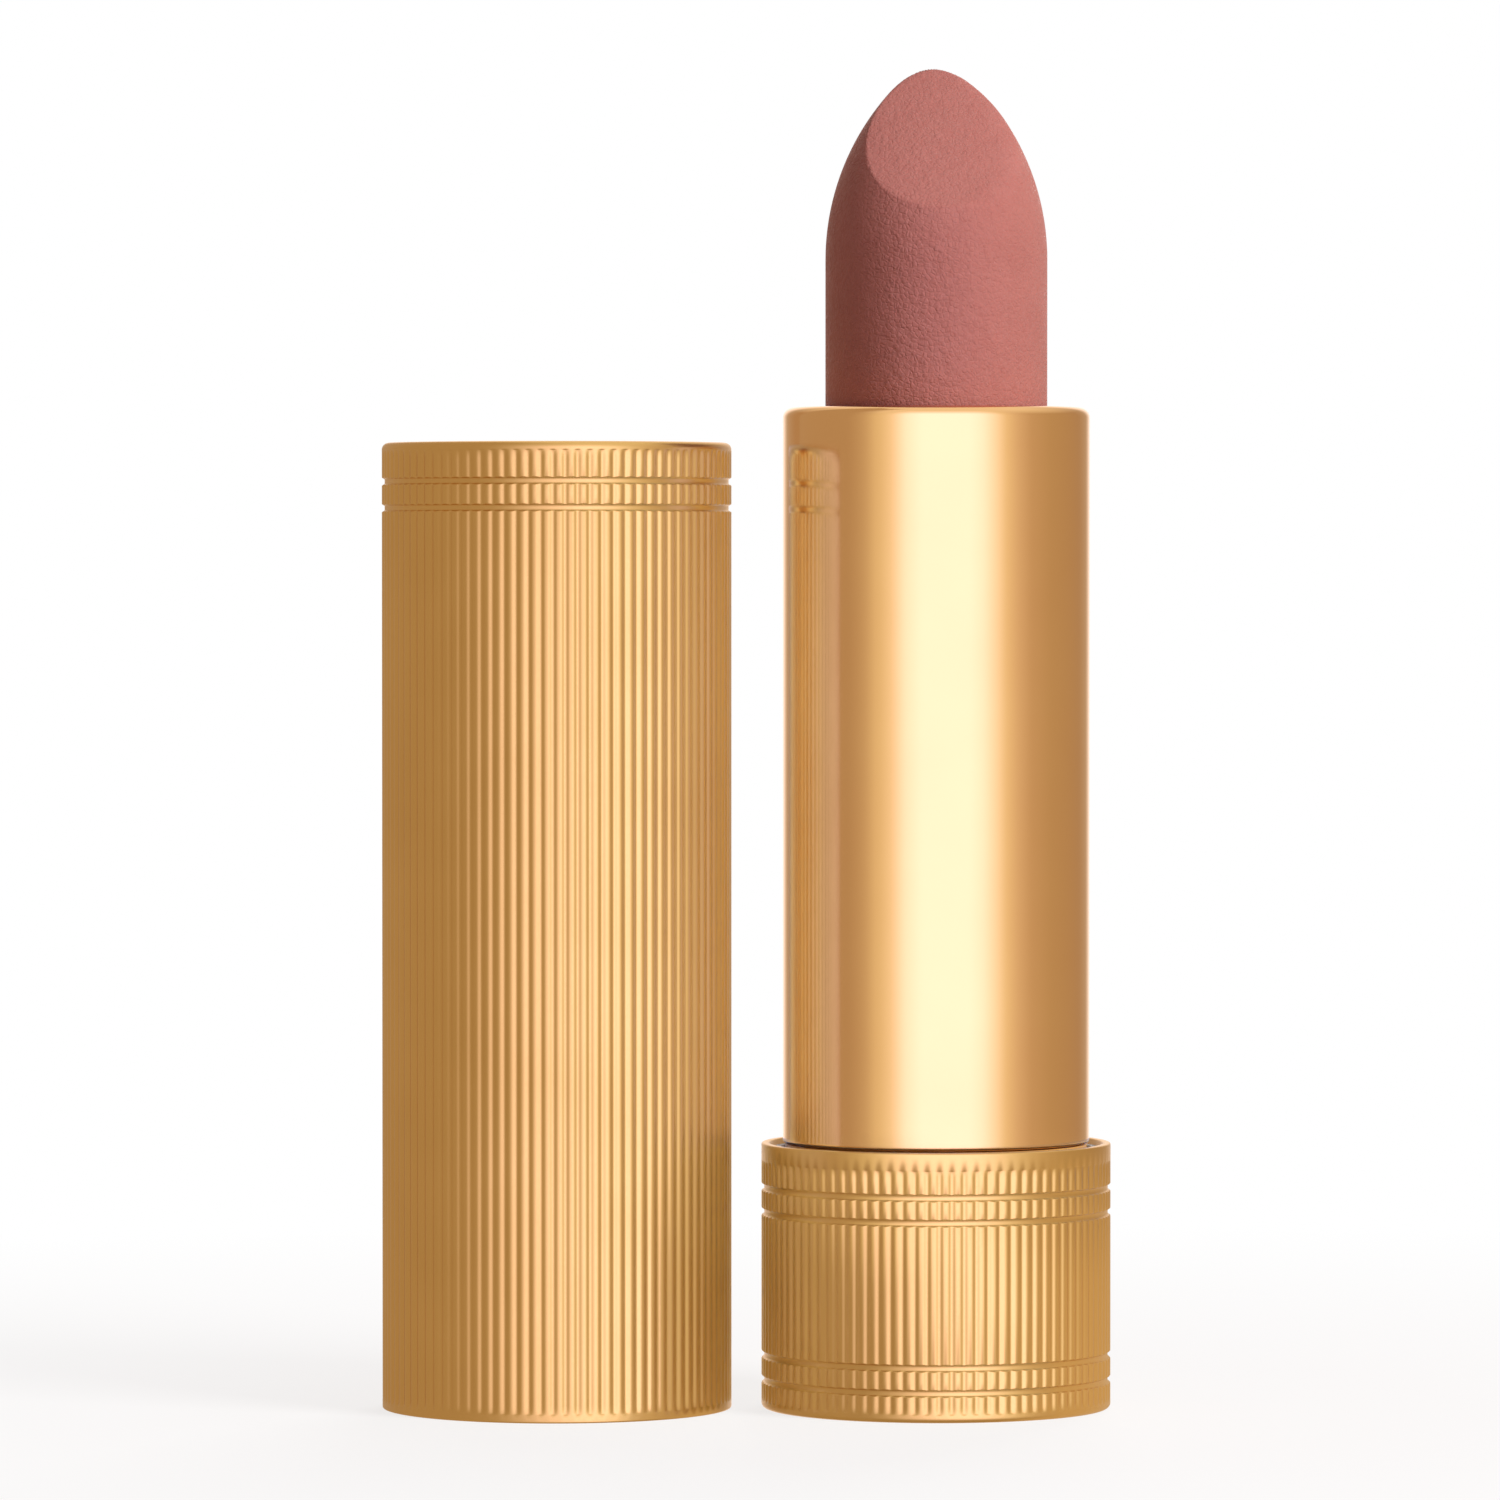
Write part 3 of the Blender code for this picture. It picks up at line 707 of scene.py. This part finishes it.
def floor():
    """A pale floor that fades to the white of the surroundings.

    Only the camera sees it, so that the gold reflects the studio and not the floor.
    """
    bm = bmesh.new()
    bmesh.ops.create_circle(bm, cap_ends=True, segments=96, radius=FLOOR_RADIUS)
    mesh = bpy.data.meshes.new("floor")
    bm.to_mesh(mesh)
    bm.free()
    material, tree, shader = nodes_of("pale_floor")
    shader.inputs["Base Color"].default_value = (*FLOOR_COLOUR, 1.0)
    shader.inputs["Roughness"].default_value = 0.9
    shader.inputs["Specular IOR Level"].default_value = 0.1
    place = tree.nodes.new("ShaderNodeTexCoord")
    length = tree.nodes.new("ShaderNodeVectorMath")
    length.operation = "LENGTH"
    tree.links.new(place.outputs["Object"], length.inputs[0])
    far = spread(tree, length.outputs["Value"], FLOOR_WHITE_FROM, 1.0, *FLOOR_FADE)
    white = add(tree, "ShaderNodeEmission", Color=(1.0, 1.0, 1.0, 1.0), Strength=1.0)
    seen = two_shaders(tree, far, shader.outputs[0], white.outputs[0])
    clear = tree.nodes.new("ShaderNodeBsdfTransparent")
    path = tree.nodes.new("ShaderNodeLightPath")
    shown = two_shaders(tree, path.outputs["Is Camera Ray"], clear.outputs[0], seen)
    tree.links.new(shown, tree.nodes["Material Output"].inputs["Surface"])
    mesh.materials.append(material)
    ground = bpy.data.objects.new("floor", mesh)
    bpy.context.scene.collection.objects.link(ground)


def surroundings():
    """The studio that the gold reflects, by direction round the case; white behind."""
    world = bpy.data.worlds.new("studio")
    bpy.context.scene.world = world
    world.use_nodes = True
    world.cycles.sampling_method = "NONE"
    tree = world.node_tree
    tree.nodes.clear()
    place = tree.nodes.new("ShaderNodeTexCoord")
    parts = tree.nodes.new("ShaderNodeSeparateXYZ")
    tree.links.new(place.outputs["Generated"], parts.inputs[0])
    toward = tree.nodes.new("ShaderNodeMath")
    toward.operation = "MULTIPLY"
    toward.inputs[1].default_value = -1.0
    tree.links.new(parts.outputs["Y"], toward.inputs[0])
    around = tree.nodes.new("ShaderNodeMath")
    around.operation = "ARCTAN2"
    tree.links.new(parts.outputs["X"], around.inputs[0])
    tree.links.new(toward.outputs[0], around.inputs[1])
    share = spread(tree, around.outputs[0], 0.0, 1.0, -math.pi, math.pi)
    walls = tree.nodes.new("ShaderNodeValToRGB")
    elements = walls.color_ramp.elements
    while len(elements) < len(STUDIO_WALLS):
        elements.new(0.5)
    for element, (azimuth, colour) in zip(elements, STUDIO_WALLS):
        element.position = (azimuth + 180) / 360
        element.color = (*colour, 1.0)
    tree.links.new(share, walls.inputs["Fac"])
    height = parts.outputs["Z"]
    high = spread(tree, height, 0.0, 1.0, *CEILING_RISE)
    above = toward_colour(tree, high, walls.outputs["Color"], STUDIO_CEILING)
    low = spread(tree, height, 1.0, 0.0, *GROUND_RISE)
    studio = toward_colour(tree, low, above, STUDIO_GROUND)
    path = tree.nodes.new("ShaderNodeLightPath")
    depth = path.outputs["Glossy Depth"]
    varied = tree.nodes.new("ShaderNodeMix")
    varied.data_type = "RGBA"
    varied.blend_type = "MULTIPLY"
    varied.inputs["Factor"].default_value = AGAIN_VARIES
    varied.inputs["A"].default_value = (*STUDIO_AGAIN, 1.0)
    tree.links.new(studio, varied.inputs["B"])
    again = tree.nodes.new("ShaderNodeMix")
    again.data_type = "RGBA"
    tree.links.new(spread(tree, depth, 0.0, 1.0, 1.0, 2.0), again.inputs["Factor"])
    tree.links.new(studio, again.inputs["A"])
    tree.links.new(varied.outputs["Result"], again.inputs["B"])
    third = spread(tree, depth, 0.0, 1.0, 2.0, 3.0)
    thrice = toward_colour(tree, third, again.outputs["Result"], STUDIO_THRICE)
    soft = toward_colour(tree, path.outputs["Is Diffuse Ray"], thrice, STUDIO_AMBIENT)
    clear = toward_colour(tree, path.outputs["Is Camera Ray"], soft, (1.0, 1.0, 1.0))
    glow = add(tree, "ShaderNodeBackground", Strength=1.0)
    tree.links.new(clear, glow.inputs["Color"])
    output = tree.nodes.new("ShaderNodeOutputWorld")
    tree.links.new(glow.outputs[0], output.inputs["Surface"])


def card(name, node, distance, azimuths, heights, colour, fade):
    """A curved glowing card before a piece, clear towards its right, seen only in the
    gold, where it paints a dim reflection.
    """
    axis_x = axis_of(node).axis_x
    bm = bmesh.new()
    edges = []
    for step in range(CARD_STEPS + 1):
        share = step / CARD_STEPS
        azimuth = math.radians(azimuths[0] + (azimuths[1] - azimuths[0]) * share)
        across = axis_x + distance * math.sin(azimuth)
        toward = -distance * math.cos(azimuth)
        edges.append([bm.verts.new((across, toward, height)) for height in heights])
    for left, right in zip(edges, edges[1:]):
        bm.faces.new((right[0], left[0], left[1], right[1]))
    mesh = bpy.data.meshes.new(name)
    bm.to_mesh(mesh)
    bm.free()
    material, tree, shader = nodes_of(name)
    place = tree.nodes.new("ShaderNodeTexCoord")
    parts = tree.nodes.new("ShaderNodeSeparateXYZ")
    tree.links.new(place.outputs["Object"], parts.inputs[0])
    share = spread(
        tree, parts.outputs["X"], 0.0, 1.0, axis_x + fade[0], axis_x + fade[1])
    edge = spread(
        tree, parts.outputs["Z"], 0.0, 1.0, heights[1] - CARD_SOFT_EDGE, heights[1])
    # The card's colour is emitted light, not a reflecting surface: a painted reflection
    # that only the gold sees.
    glow = add(tree, "ShaderNodeEmission", Color=(*colour, 1.0), Strength=1.0)
    side = tree.nodes.new("ShaderNodeNewGeometry")
    clear = tree.nodes.new("ShaderNodeBsdfTransparent")
    shown = glow.outputs[0]
    for factor in (share, edge, side.outputs["Backfacing"]):
        shown = two_shaders(tree, factor, shown, clear.outputs[0])
    tree.links.new(shown, tree.nodes["Material Output"].inputs["Surface"])
    mesh.materials.append(material)
    piece = bpy.data.objects.new(name, mesh)
    piece.visible_camera = False
    piece.visible_diffuse = False
    piece.visible_shadow = False
    piece.visible_transmission = False
    bpy.context.scene.collection.objects.link(piece)


def soft_light(name, azimuth, elevation, power):
    """A square area light that the gold doesn't reflect; azimuth grows to the right."""
    data = bpy.data.lights.new(name, "AREA")
    data.size = LIGHT_SIZE
    data.energy = power
    lamp = bpy.data.objects.new(name, data)
    around = math.radians(azimuth)
    up = math.radians(elevation)
    aim = Vector((0.0, 0.0, AIM_HEIGHT))
    away = Vector((math.sin(around) * math.cos(up),
                   -math.cos(around) * math.cos(up), math.sin(up)))
    lamp.location = aim + away * LIGHT_DISTANCE
    lamp.rotation_euler = (-away).to_track_quat("-Z", "Y").to_euler()
    lamp.visible_camera = False
    lamp.visible_glossy = False
    bpy.context.scene.collection.objects.link(lamp)


# --------------------------------------------------------------------- make

camera()
floor()
surroundings()
for settings in CARDS:
    card(*settings)
for settings in LIGHTS:
    soft_light(*settings)

bpy.context.scene.view_settings.view_transform = "Standard"

# The fluted shells are the sleeve's anodised aluminium with a rougher satin finish; their
# colour is set about a tenth darker and less blue as painted shade, standing in for dimmer
# light on the fluted shells.
fluted_gold_with_painted_shade = gold("fluted_gold_with_painted_shade", (0.82, 0.52, 0.185), (0.785, 0.49, 0.168), 0.33, 0.05)
sleeve_gold = gold(
    "polished_gold", (0.94, 0.58, 0.265), (0.925, 0.56, 0.255), 0.11, 0.05)
grey, natural, white, amber, silicone = [plastic(*row) for row in PLASTICS]
steel = plated_steel()
paper = label_paper()
wax = lipstick_wax()

cap_shell(fluted_gold_with_painted_shade)
base_shell(fluted_gold_with_painted_shade)
sleeve(sleeve_gold)
grey_insert(grey)
lipstick(wax)

for node, material in (
    ("cap_liner", natural),
    ("cap_weight", steel),
    ("base_weight", steel),
    ("base_label", paper),
    ("guide_tube", white),
    ("brake_ring", silicone),
    ("cam_sleeve", amber),
    ("carrier_cup", white),
):
    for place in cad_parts[node].material_slots:
        place.material = material
